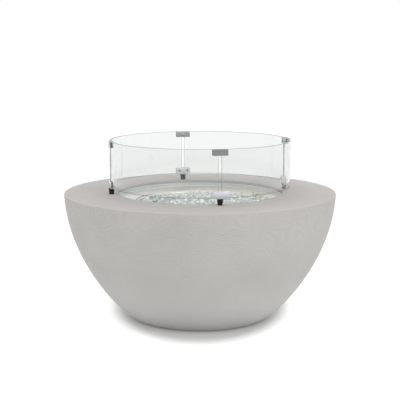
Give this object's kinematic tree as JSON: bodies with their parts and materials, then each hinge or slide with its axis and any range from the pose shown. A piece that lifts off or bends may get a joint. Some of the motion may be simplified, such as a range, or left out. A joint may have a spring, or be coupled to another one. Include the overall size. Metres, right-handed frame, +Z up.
{
  "type": "gas fire pit table",
  "caption": "Round cast bowl fire pit table with a drop-in gas burner pan, crushed fire glass, a curved glass wind guard on rubber feet and a recessed gas control panel at the back.",
  "frame": {"origin": "centre of the base on the floor", "axes": "+Z up, the front faces -Y, the control panel at the back faces +Y"},
  "size_m": [1.0668, 1.067, 0.702],
  "materials": {
    "cast_concrete": "matte cast concrete with a shallow wavy grain",
    "pan_steel": "bright spun stainless steel",
    "burner_steel": "heat-dulled stainless steel",
    "panel_steel": "brushed stainless steel",
    "clip_steel": "satin stainless steel",
    "screw_steel": "machined stainless steel",
    "valve_alloy": "die-cast",
    "fitting_brass": "machined brass",
    "hose_steel": "corrugated stainless steel",
    "black_plastic": "fine moulded texture",
    "battery_can": "plain printed can",
    "black_rubber": "matte moulded rubber",
    "lead_rubber": "silicone sleeve",
    "white_ceramic": "fired",
    "guard_glass": "clear tempered glass",
    "fire_glass": "clear crushed tempered glass",
    "clear_gasket": "clear silicone"
  },
  "bodies": {
    "table": {"bowl": "cast_concrete", "base_pads": "black_rubber", "burner_pan": "pan_steel", "ring_burner": "burner_steel", "burner_locknut": "fitting_brass", "air_mixer": "fitting_brass", "gas_orifice": "fitting_brass", "gas_hose": "hose_steel", "hose_nuts": "fitting_brass", "gas_valve": "valve_alloy", "inlet_fitting": "fitting_brass", "valve_screws": "screw_steel", "control_panel": "panel_steel", "panel_screws": "screw_steel", "knob_bezel": "panel_steel", "igniter_body": "black_plastic", "igniter_nut": "black_plastic", "igniter_battery": "battery_can", "sensor_bracket": "burner_steel", "electrode_ceramic": "white_ceramic", "electrode_pin": "screw_steel", "thermocouple": "burner_steel", "ignition_lead": "lead_rubber", "thermocouple_lead": "fitting_brass", "fire_glass_fill": "fire_glass", "fire_glass_chips": "fire_glass"},
    "plunger": {"valve_plunger": "fitting_brass"},
    "knob": {"valve_stem": "screw_steel", "control_knob": "black_plastic"},
    "button": {"igniter_button": "black_plastic"},
    "wind_guard": {"guard_glass_1": "guard_glass", "guard_glass_2": "guard_glass", "guard_glass_3": "guard_glass", "guard_glass_4": "guard_glass", "top_clip_outer_1": "clip_steel", "top_clip_outer_2": "clip_steel", "top_clip_outer_3": "clip_steel", "top_clip_outer_4": "clip_steel", "top_clip_inner_1": "clip_steel", "top_clip_inner_2": "clip_steel", "top_clip_inner_3": "clip_steel", "top_clip_inner_4": "clip_steel", "bottom_clip_outer_1": "clip_steel", "bottom_clip_outer_2": "clip_steel", "bottom_clip_outer_3": "clip_steel", "bottom_clip_outer_4": "clip_steel", "bottom_clip_inner_1": "clip_steel", "bottom_clip_inner_2": "clip_steel", "bottom_clip_inner_3": "clip_steel", "bottom_clip_inner_4": "clip_steel", "guard_foot_1": "black_rubber", "guard_foot_2": "black_rubber", "guard_foot_3": "black_rubber", "guard_foot_4": "black_rubber", "clip_screws": "screw_steel", "clip_gaskets": "clear_gasket", "foot_screws": "screw_steel"}
  },
  "joints": [
    {"name": "knob_push", "type": "slide", "parent": "table", "child": "plunger", "axis": [0, -1, 0], "range_m": [0, 0.0035], "stiffness_N_per_m": 900, "springref_m": -0.002},
    {"name": "knob_turn", "type": "hinge", "parent": "plunger", "child": "knob", "pos_m": [-0.034, 0.48935, 0.372], "axis": [0, 1, 0], "range_deg": [0, 210]},
    {"name": "igniter_press", "type": "slide", "parent": "table", "child": "button", "axis": [0, -1, 0], "range_m": [0, 0.004], "stiffness_N_per_m": 700, "springref_m": -0.002},
    {"name": "guard_lift", "type": "slide", "parent": "table", "child": "wind_guard", "axis": [0, 0, 1], "range_m": [0, 0.25]}
  ]
}
